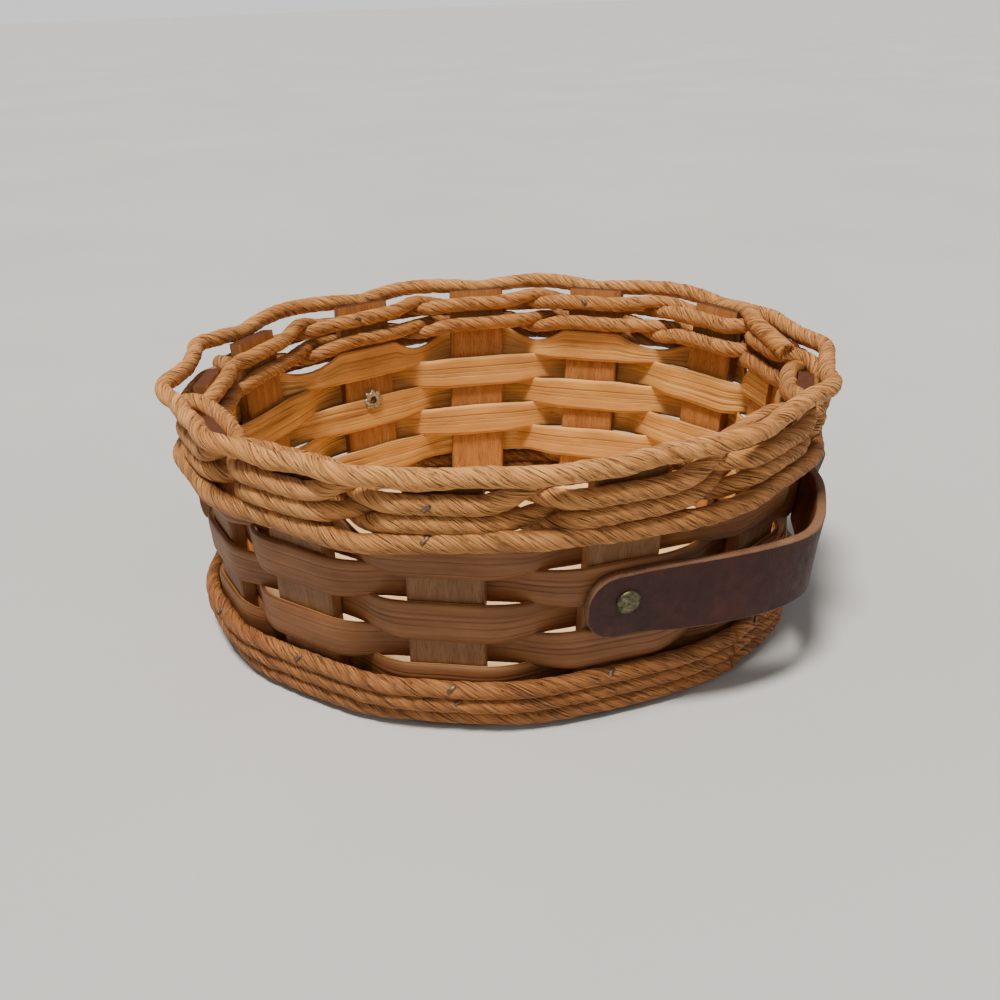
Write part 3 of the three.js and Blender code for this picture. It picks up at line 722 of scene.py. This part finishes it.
def press_staple(name, i, degrees, points, rings, axes, radius):
    """Dents a cord's rings at its point i and puts a staple there."""
    turn = math.radians(degrees)
    normal = math.cos(turn) * axes[0][i] + math.sin(turn) * axes[1][i]
    along = np.gradient(points, axis=0)[i]
    along /= np.linalg.norm(along)
    place = points[i] + normal * radius
    near = np.exp(-(np.linalg.norm(rings - place, axis=2) / STAPLE_DENT_REACH) ** 2)
    rings -= STAPLE_DENT * near[:, :, None] * normal
    staple(name, place - STAPLE_SINK * normal, normal, along)


def cut_face(points, rings):
    """The rings of a frayed cut face beyond a cord's last ring."""
    ahead = points[-1] - points[-2]
    ahead /= np.linalg.norm(ahead)
    middle = rings[-1].mean(0)
    rim = rings[-1] - middle
    extra = []
    for level, (scale, forward) in enumerate(CUT_FACE):
        ring = []
        for edge, t in zip(rim, CORD_TURNS):
            x, y = CUT_FRAY_DENSITY * math.cos(t), CUT_FRAY_DENSITY * math.sin(t)
            fray = CUT_ROUGHNESS * noise.noise(Vector((x, y, level * CUT_FRAY_CHANGE)))
            ring.append(middle + edge * scale + ahead * (forward + fray))
        extra.append(ring)
    return np.array(extra)


def cord(name, path, start, end, radius, look, lean, seed, node=None, squeeze=None, reach=3):
    """A twisted cord that stands for its solid, or a loose end with a cut face where it has none."""
    span = FOOT_RADIUS * abs(angle_at(end) - angle_at(start))
    us = np.linspace(start, end, max(int(span / CORD_STEP), 8))
    points = softened(np.array([path(u) for u in us]), reach)
    lengths = lengths_along(points)
    axes = axes_along(points, lean)
    fullness = [1.0 if node else mix(*TAIL_FULLNESS, smooth(s / lengths[-1])) for s in lengths]
    flatness = [CORD_HEIGHT * (1 - CORD_SQUEEZE * (squeeze(u) if squeeze else 0)) for u in us]
    rings = twisted_rings(points, lengths, axes, radius, seed, fullness, flatness)
    for held, u, degrees in STAPLES:
        if held == node and start < u < end:
            i = int(np.argmin(abs(us - u)))
            press_staple(f"staple_{held}_{i}", i, degrees, points, rings, axes, radius)
    if not node:
        rings = np.concatenate([rings, cut_face(points, rings)])
        beyond = CUT_RING_SPACING * np.arange(1, len(CUT_FACE) + 1)
        lengths = np.concatenate([lengths, lengths[-1] + beyond])
    obj = skin(name, rings, lengths, [look])
    if node:
        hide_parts(node)
    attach(obj, "basket")
    return obj


def ring_path(radius, height_at, bulge_at, loose_at=lambda u: 0):
    """A single cord outside the staves: heights and bulges are given all the way round."""

    def cover(k):
        middle = height_at(k)
        return SPLINT_THICKNESS + SEAT if splint_covers(k, middle - radius, middle + radius) else 0

    covers = [cover(k) for k in range(STAVE_COUNT)]

    def offset(k):
        return STAVE_THICKNESS / 2 + SEAT + covers[k % STAVE_COUNT] + radius

    def path(u):
        height = height_at(u)
        return polar(angle_at(u), strand_radius(u, height, offset, bulge_at(u)) + loose_at(u), height)

    return path


def between_nails(u):
    """The nails on either side of a place on the top cord, and the share of the way between them."""
    own = (u - TOP_NAILS[0][0]) % STAVE_COUNT + TOP_NAILS[0][0]
    nails = TOP_NAILS + [(TOP_NAILS[0][0] + STAVE_COUNT, *TOP_NAILS[0][1:])]
    for here, there in zip(nails, nails[1:]):
        if here[0] <= own <= there[0]:
            return here, there, (own - here[0]) / (there[0] - here[0])
    return nails[0], nails[1], 0.0


def top_height(u):
    here, there, share = between_nails(u)
    return mix(here[1], there[1], smooth(share)) + here[2] * math.sin(math.pi * share) ** ARCH_SHARPNESS


def top_bulge(u):
    return between_nails(u)[0][3]


def top_loose(u):
    here, there, share = between_nails(u)
    return mix(here[4], there[4], smooth(share))


def bottom_height(u):
    turns, heights = np.array(BOTTOM_HEIGHTS).T
    return float(np.interp(u % STAVE_COUNT, turns, heights))


def crossing(u):
    return math.sin(math.pi * gap_share(u)) ** 2


def twine_path(row, start):
    reach = STAVE_THICKNESS / 2 + SEAT + RIM_CORD_RADIUS

    def inside(k):
        return (k - start) % 2 == 0

    def offset(k):
        return -reach if inside(k) else reach

    def height(k):
        return row["inside"] if inside(k) else row["outside"]

    def path(u):
        k = math.floor(u)
        share = gap_share(u)
        rise = row["going_in"] if inside(k + 1) else row["coming_out"]
        z = mix(height(k), height(k + 1), smooth(share)) + rise * math.sin(math.pi * share) ** 3
        z += rim_rise(angle_at(u))
        return polar(angle_at(u), strand_radius(u, z, offset, row["bulge"]), z)

    return path


# Splint
def splint_height(passed):
    return SPLINT_FIRST_HEIGHT + SPLINT_PITCH * passed / STAVE_COUNT


def splint_edges(passed):
    middle = math.sin(math.pi * gap_share(SPLINT_FIRST_STAVE - passed))
    half = mix(SPLINT_WIDTH, SPLINT_PINCHED_WIDTH, middle ** 2) / 2
    ceiling = mix(SPLINT_TOP_AT_STAVE, SPLINT_TOP_BETWEEN, middle)
    ceiling += rim_rise(angle_at(SPLINT_FIRST_STAVE - passed))
    z = splint_height(passed)
    return z - half, min(z + half, ceiling)


def splint_covers(k, low, high):
    for passed in range(1, SPLINT_JOINTS[-1] + 1, 2):
        if (SPLINT_FIRST_STAVE - passed - k) % STAVE_COUNT == 0:
            edge_low, edge_high = splint_edges(passed)
            if edge_low < high + SEAT and edge_high > low - SEAT:
                return True
    return False


def splint(index, start, end):
    """One length of splint: a thin strip, slightly cupped, with ridges and uneven edges."""
    reach = STAVE_THICKNESS / 2 + SEAT + SPLINT_THICKNESS / 2

    def offset(k):
        return reach if (SPLINT_FIRST_STAVE - k) % 2 else -reach

    first, last = SPLINT_FIRST_STAVE - end, SPLINT_FIRST_STAVE - start
    span = FOOT_RADIUS * abs(angle_at(last) - angle_at(first))
    us = np.linspace(first, last, int(span / SPLINT_STEP))
    points = []
    for u in us:
        z = splint_height(SPLINT_FIRST_STAVE - u)
        points.append(polar(angle_at(u), strand_radius(u, z, offset), z))
    points = softened(np.array(points), 2)
    lengths = lengths_along(points)
    out, up = axes_along(points, WALL_LEAN)
    half = SPLINT_THICKNESS / 2
    shares = np.linspace(0, 1, SPLINT_COLUMNS)
    rings = np.empty((len(us), 2 * SPLINT_COLUMNS, 3))
    for i, u in enumerate(us):
        low, high = splint_edges(SPLINT_FIRST_STAVE - u)
        s = lengths[i]
        wander = s / SPLINT_UNEVENNESS_LENGTH
        low += SPLINT_UNEVENNESS * noise.noise(Vector((wander, index, 0)))
        high += SPLINT_UNEVENNESS * noise.noise(Vector((wander, index, 5))) - SPLINT_EDGE_DROP
        for j, share in enumerate(shares):
            z = mix(low, high, share)
            place = Vector((s / SPLINT_RIPPLE_LENGTH, SPLINT_RIPPLE_DENSITY * share, 11 + index))
            ripple = SPLINT_RIPPLE * noise.noise(place)
            cup = SPLINT_CUP * (1 - 4 * (share - 0.5) ** 2) - SPLINT_CUP_SHIFT
            thick = half * min(1, SPLINT_EDGE_SHARE + SPLINT_EDGE_GROWTH * min(share, 1 - share))
            centre = points[i] + up[i] * (z - points[i][2]) / up[i][2] + out[i] * (ripple + cup)
            rings[i, j] = centre + out[i] * thick
            rings[i, 2 * SPLINT_COLUMNS - 1 - j] = centre - out[i] * thick
    obj = skin(f"splint_strip_{index}", rings, lengths, [splint_look])
    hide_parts(f"weaver_length_{index}")
    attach(obj, "basket")


butt_share = BUTT / FOOT_RADIUS * STAVE_COUNT / (2 * math.pi)
last_length = len(SPLINT_JOINTS) - 2
for index in range(last_length + 1):
    begin = SPLINT_JOINTS[index] + (-SPLINT_TAIL if index == 0 else butt_share)
    finish = SPLINT_JOINTS[index + 1] + (SPLINT_TAIL if index == last_length else -butt_share)
    splint(index + 1, begin, finish)


# Foot and rim
for row, name in enumerate(["lower", "middle", "upper"]):
    z = FOOT_FIRST_HEIGHT + row * FOOT_PITCH
    path = ring_path(FOOT_CORD_RADIUS, lambda u, z=z: z, lambda u: FOOT_BULGE / 2)
    begin = FOOT_SPLICE_STAVE + butt_share
    finish = FOOT_SPLICE_STAVE + STAVE_COUNT - butt_share
    piece = cord(f"foot_rope_{name}", path, begin, finish, FOOT_CORD_RADIUS, foot_cord_look, 0,
                 row + 1, f"base_cord_{name}", reach=7)

top_path = ring_path(RIM_CORD_RADIUS, top_height, top_bulge, top_loose)
bottom_path = ring_path(RIM_CORD_RADIUS, bottom_height, lambda u: BOTTOM_BULGE)
for name, path, splice, look in (
    ("top", top_path, TOP_SPLICE, rim_cord_look),
    ("bottom", bottom_path, BOTTOM_SPLICE, shaded_low_cord_look),
):
    piece = cord(f"rim_rope_{name}", path, splice + butt_share, splice + STAVE_COUNT - butt_share,
                 RIM_CORD_RADIUS, look, WALL_LEAN, len(name) + 3, f"rim_cord_{name}", reach=2)

for row in TWINED_ROWS:
    for strand, (begin, finish) in enumerate([(0, STAVE_COUNT + 1), (1, STAVE_COUNT)]):
        name = f"rim_twine_{row['name']}_{strand + 1}"
        piece = cord(name.replace("twine", "twine_rope"), twine_path(row, begin), begin + butt_share,
                     finish - butt_share, RIM_CORD_RADIUS, twine_look, WALL_LEAN, row["seed"] + strand,
                     name, squeeze=crossing, reach=5)


# The top cord's end passes inside the wall and stops, cut square, past the next stave
def tail_path(u):
    turns, radii, heights = np.array(TAIL).T
    angle = angle_at(u)
    here = math.degrees(angle)
    return polar(angle, np.interp(here, turns, radii), np.interp(here, turns, heights))


tail = cord("rim_rope_tail", tail_path, TAIL_START, TAIL_END, RIM_CORD_RADIUS, rim_cord_look,
            WALL_LEAN, TAIL_SEED, reach=4)


# Leather handles
def catmull(points, t):
    """Centripetal Catmull-Rom curve through the points, t counted in spans."""
    i = min(int(t), len(points) - 2)
    w = t - i
    p1, p2 = points[i], points[i + 1]
    p0 = points[i - 1] if i > 0 else 2 * p1 - p2
    p3 = points[i + 2] if i + 2 < len(points) else 2 * p2 - p1
    d0, d1, d2 = (max(np.linalg.norm(b - a) ** 0.5, 1e-6) for a, b in ((p0, p1), (p1, p2), (p2, p3)))
    m1 = ((p1 - p0) / d0 - (p2 - p0) / (d0 + d1) + (p2 - p1) / d1) * d1
    m2 = ((p2 - p1) / d1 - (p3 - p1) / (d1 + d2) + (p3 - p2) / d2) * d1
    c2 = -3 * p1 + 3 * p2 - 2 * m1 - m2
    c3 = 2 * p1 - 2 * p2 + m1 + m2
    return p1 + m1 * w + c2 * w ** 2 + c3 * w ** 3


def strap_section(half_width, half_thick, round_off):
    """Points round a strap's section as (out, up): top edge, inner face, bottom edge, outer face."""
    r = min(round_off, half_width * 0.9, half_thick * 0.9)
    corners = [(half_thick - r, half_width - r, 0), (-half_thick + r, half_width - r, 90),
               (-half_thick + r, -half_width + r, 180), (half_thick - r, -half_width + r, 270)]
    points = []
    for a, b, start in corners:
        for step in range(4):
            turn = math.radians(start + 30 * step)
            points.append((a + r * math.cos(turn), b + r * math.sin(turn)))
    faces = [mix(points[15][1], points[0][1], t) for t in (0.2, 0.4, 0.6, 0.8)]
    outer = [(half_thick, y) for y in faces]
    inner = [(-half_thick, -y) for y in faces]
    return points[:8] + inner + points[8:] + outer


def strap(side, near, far):
    """A leather strap that is held at its two rivets and bows out between them."""
    knots = [
        polar(mix(stave_angle(near), stave_angle(far), a), wall_radius(z) + TAB_OFFSET / COS_LEAN + off, z)
        for a, off, z, _ in STRAP_SHAPE
    ]
    turns = np.linspace(0, len(knots) - 1, STRAP_SAMPLES)
    fine = np.array([catmull(knots, t) for t in turns])
    leans = np.interp(turns, np.arange(len(knots)), np.array(STRAP_SHAPE)[:, 3])
    leans = softened(np.stack([leans] * 3, axis=1), STRAP_LEAN_REACH)[:, 0]
    along = lengths_along(fine)
    total = along[-1]
    tip = np.array([*STRAP_TIP_ROWS, STRAP_TIP_RADIUS])
    middle = np.arange(STRAP_TIP_RADIUS + STRAP_STEP, total - STRAP_TIP_RADIUS, STRAP_STEP)
    rows = np.concatenate([tip, middle, (total - tip)[::-1]])
    points = np.stack([np.interp(rows, along, fine[:, i]) for i in range(3)], axis=1)
    outs, ups = axes_along(points, np.radians(np.interp(rows, along, leans)))
    rings = []
    for point, out, up, distance in zip(points, outs, ups, rows):
        short = max(STRAP_TIP_RADIUS - min(distance, total - distance), 0)
        half = STRAP_WIDTH / 2 - STRAP_TIP_RADIUS + math.sqrt(max(STRAP_TIP_RADIUS ** 2 - short ** 2, 0))
        half += STRAP_WOBBLE * noise.noise(Vector((distance / STRAP_WOBBLE_LENGTH, near, 2)))
        section = strap_section(half, STRAP_THICKNESS / 2, STRAP_CORNER)
        rings.append([point + a * out + b * up for a, b in section])
    rings = np.array(rings)

    def face_kind(j):
        """0 on the outer face, 1 on the inner face and 2 on the two cut edges."""
        place = j % rings.shape[1]
        edge = (place < 6) | ((place >= 12) & (place <= 17))
        return np.where(edge, 2, np.where(place < 12, 1, 0))

    obj = skin(f"{side}_strap", rings, rows, [leather_look, suede_look, edge_look], face_kind)
    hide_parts(f"{side}_handle_strap")
    chord = (knots[NEAR_RIVET_KNOT] + knots[FAR_RIVET_KNOT]) / 2
    outward = chord * np.array([1, 1, 0])
    outward /= np.linalg.norm(outward)
    start, end = drifted(np.array([chord + outward * FLEX_START, chord + outward * FLEX_END])) * MM
    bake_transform(obj)


for side, near, far in HANDLES:
    strap(side, near, far)


# Rivets: domed head outside, star clinch inside
def on_stave(points, k, z):
    x, y, h = np.asarray(points, float).T
    c, s = COS_LEAN, math.sin(WALL_LEAN)
    x, h = x * c + h * s, -x * s + h * c
    a = stave_angle(k)
    x = x + wall_radius(z)
    return np.stack([x * math.cos(a) - y * math.sin(a), x * math.sin(a) + y * math.cos(a), h + z], axis=1)


def shank_and_head(back, head):
    """Points and faces of the shank and the domed head, turned round the rivet's axis."""
    profile = [(RIVET_SHANK_RADIUS, back - RIVET_SHANK_TAIL), (RIVET_SHANK_RADIUS, head)]
    profile += [(RIVET_HEAD_RADIUS, head), (RIVET_HEAD_RADIUS, head + RIVET_SKIRT)]
    for t in RIVET_DOME_TURNS:
        x = head + RIVET_DOME_BASE + RIVET_DOME_HEIGHT * math.sin(t)
        profile.append((RIVET_DOME_RADIUS * math.cos(t), x))
    verts, faces = [], []
    for r, x in profile:
        for j in range(RIVET_SIDES):
            turn = 2 * math.pi * j / RIVET_SIDES
            verts.append((x, r * math.cos(turn), r * math.sin(turn)))
    for i in range(len(profile) - 1):
        for j in range(RIVET_SIDES):
            a = i * RIVET_SIDES + j
            b = i * RIVET_SIDES + (j + 1) % RIVET_SIDES
            faces.append((a, b, b + RIVET_SIDES, a + RIVET_SIDES))
    faces.append(tuple(range(RIVET_SIDES - 1, -1, -1)))
    faces.append(tuple((len(profile) - 1) * RIVET_SIDES + j for j in range(RIVET_SIDES)))
    return verts, faces


def star(back, first):
    """Points and faces of the star clinch, numbered from first."""
    sides = 8 * STAR_PETALS
    verts, faces = [], []
    for scale, lift in STAR_RINGS:
        for j in range(sides):
            turn = 2 * math.pi * j / sides
            wave = math.cos(STAR_PETALS * turn)
            notch = (STAR_NOTCH * wave - STAR_NOTCH) * min(1, scale * STAR_NOTCH_GROWTH) ** 2
            reach = STAR_RADIUS * scale * (1 + notch)
            x = back - lift + STAR_CURL * wave * scale
            verts.append((x, reach * math.cos(turn), reach * math.sin(turn)))
    for level in range(len(STAR_RINGS) - 1):
        for j in range(sides):
            a = first + level * sides + j
            b = first + level * sides + (j + 1) % sides
            faces.append((a, a + sides, b + sides, b))
    faces.append(tuple(first + j for j in range(sides)))
    last = first + (len(STAR_RINGS) - 1) * sides
    faces.append(tuple(last + j for j in range(sides - 1, -1, -1)))
    return verts, faces


def rivet(name, k, height):
    head = TAB_OFFSET + STRAP_THICKNESS / 2 + RIVET_HEAD_GAP
    back = -(STAVE_THICKNESS + SEAT + SPLINT_THICKNESS + STAR_GAP)
    verts, faces = shank_and_head(back, head)
    star_verts, star_faces = star(back, len(verts))
    placed = drifted(on_stave(verts + star_verts, k, height)) * MM
    mesh = bpy.data.meshes.new(name)
    mesh.from_pydata(placed.tolist(), [], faces + star_faces)
    mesh.materials.append(brass_look)
    mesh.materials.append(star_look)
    mesh.polygons.foreach_set("material_index", [0] * len(faces) + [1] * len(star_faces))
    mesh.polygons.foreach_set("use_smooth", [True] * len(mesh.polygons))
    mesh.update()
    return linked(name, mesh)


for side, near, far in HANDLES:
    for part, k in (("near", near), ("far", far)):
        piece = rivet(f"{side}_clinched_rivet_{part}", k, RIVET_HEIGHTS[part])
        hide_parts(f"{side}_handle_rivet_{part}")
        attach(piece, "basket")


# Camera at the photograph's place, found from the grid the basket stands on
turn = Matrix.Rotation(VIEW_TURN, 3, "Z")
forward = turn @ Vector(CAMERA_FORWARD)
down = turn @ Vector(CAMERA_DOWN)
right = forward.cross(-down).normalized()
up_axis = right.cross(forward).normalized()
rotation = Matrix((right, up_axis, -forward)).transposed()
camera_data = bpy.data.cameras.new("camera")
camera_data.lens = CAMERA_LENS
camera_data.sensor_width = 36
camera_data.clip_start = 0.01
camera = linked("camera", camera_data)
camera.matrix_world = Matrix.Translation(turn @ Vector(CAMERA_PLACE)) @ rotation.to_4x4()
bpy.context.scene.camera = camera


# Pale floor and soft light
def floor():
    mesh = bpy.data.meshes.new("floor")
    r = FLOOR_REACH
    mesh.from_pydata([(-r, -r, 0), (r, -r, 0), (r, r, 0), (-r, r, 0)], [], [(0, 1, 2, 3)])
    s = Shader("pale floor")
    place = s.add("ShaderNodeTexCoord").outputs["Object"]
    tone = s.ramp(s.noise(place, 3, 3), [(0.3, srgb(186, 186, 185)), (0.7, srgb(192, 192, 191))])
    mesh.materials.append(s.finish(tone, 0.85, None))
    obj = linked("floor", mesh)
    obj.location.z = -FLOOR_DROP


def area_light(name, place, target, size, power, colour):
    data = bpy.data.lights.new(name, "AREA")
    data.size = size
    data.energy = power
    data.color = colour
    obj = linked(name, data)
    obj.location = turn @ Vector(place)
    aim = turn @ Vector(target) - obj.location
    obj.rotation_mode = "QUATERNION"
    obj.rotation_quaternion = aim.to_track_quat("-Z", "Y")


def sun(place, spread, strength, colour):
    data = bpy.data.lights.new("overhead light", "SUN")
    data.angle = spread
    data.energy = strength
    data.color = colour
    obj = linked("overhead light", data)
    obj.rotation_mode = "QUATERNION"
    obj.rotation_quaternion = (turn @ Vector(place)).to_track_quat("Z", "Y")


def surroundings():
    """Soft studio surroundings: pale near the horizon, dimmer overhead."""
    world = bpy.data.worlds.new("soft surroundings")
    world.use_nodes = True
    tree = world.node_tree
    place = tree.nodes.new("ShaderNodeTexCoord")
    split = tree.nodes.new("ShaderNodeSeparateXYZ")
    ramp = tree.nodes.new("ShaderNodeValToRGB")
    tree.links.new(place.outputs["Generated"], split.inputs[0])
    tree.links.new(split.outputs["Z"], ramp.inputs["Fac"])
    elements = ramp.color_ramp.elements
    while len(elements) < len(SKY_TONES):
        elements.new(0.5)
    for element, (position, tone) in zip(elements, SKY_TONES):
        element.position = position
        element.color = (tone, tone, tone, 1)
    tree.links.new(ramp.outputs["Color"], tree.nodes["Background"].inputs["Color"])
    bpy.context.scene.world = world


floor()
sun(SUN_PLACE, SUN_SPREAD, SUN_STRENGTH, SUN_COLOUR)
area_light("fill", FILL_PLACE, FILL_TARGET, FILL_SIZE, FILL_POWER, FILL_COLOUR)
surroundings()
